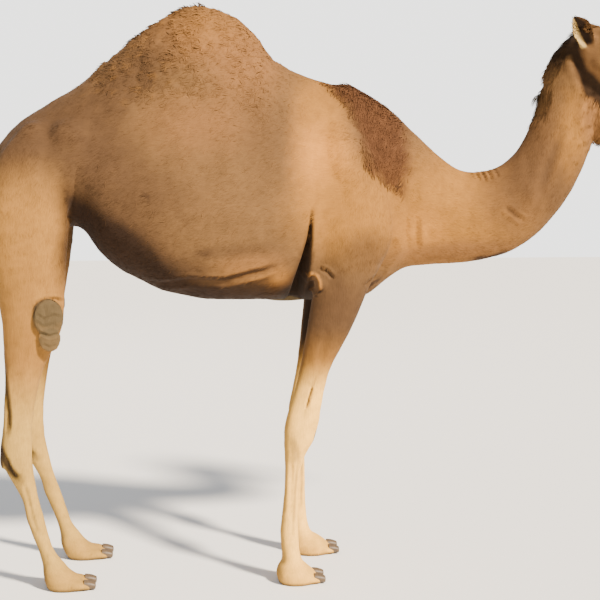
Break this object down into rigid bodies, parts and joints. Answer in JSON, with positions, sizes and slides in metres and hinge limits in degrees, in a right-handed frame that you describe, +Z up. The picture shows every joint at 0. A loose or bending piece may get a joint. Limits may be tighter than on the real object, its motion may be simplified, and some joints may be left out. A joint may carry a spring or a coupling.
{
  "type": "dromedary camel",
  "caption": "Life-size one-humped camel standing still on its own feet, a long curved neck, its head turned a little to its right.",
  "frame": {"origin": "on the floor, under the centre of the bounding box", "axes": "+X towards the head, +Y the animal's left, +Z up"},
  "size_m": [2.6733, 0.652, 2.086],
  "materials": {
    "coat": "short woolly camel hair, tan",
    "pale_coat": "short flat camel hair, cream to sand",
    "dark_coat": "coarse brown hair",
    "callus": "bare grey-brown callused skin",
    "horn": "dull dark horn",
    "eye": "wet, very dark brown"
  },
  "bodies": {
    "root": {"ear_left": "coat", "eye_left": "eye", "ear_right": "coat", "eye_right": "eye", "head": "coat", "lower_jaw": "coat", "neck_upper": "coat", "neck_middle": "coat", "neck_base": "coat", "trunk": "coat", "hump": "coat", "rump": "coat", "tail": "coat", "tail_tuft": "dark_coat", "breast_pad": "callus", "shoulder_left": "coat", "forearm_left": "pale_coat", "fore_cannon_left": "pale_coat", "fore_foot_left": "pale_coat", "fore_nail_inner_left": "horn", "fore_nail_outer_left": "horn", "elbow_pad_left": "callus", "knee_pad_left": "callus", "shoulder_right": "coat", "forearm_right": "pale_coat", "fore_cannon_right": "pale_coat", "fore_foot_right": "pale_coat", "fore_nail_inner_right": "horn", "fore_nail_outer_right": "horn", "elbow_pad_right": "callus", "knee_pad_right": "callus", "thigh_left": "coat", "gaskin_left": "pale_coat", "hind_cannon_left": "pale_coat", "hind_foot_left": "pale_coat", "hind_nail_inner_left": "horn", "hind_nail_outer_left": "horn", "stifle_pad_left": "callus", "hock_pad_left": "callus", "thigh_right": "coat", "gaskin_right": "pale_coat", "hind_cannon_right": "pale_coat", "hind_foot_right": "pale_coat", "hind_nail_inner_right": "horn", "hind_nail_outer_right": "horn", "stifle_pad_right": "callus", "hock_pad_right": "callus"}
  },
  "joints": []
}
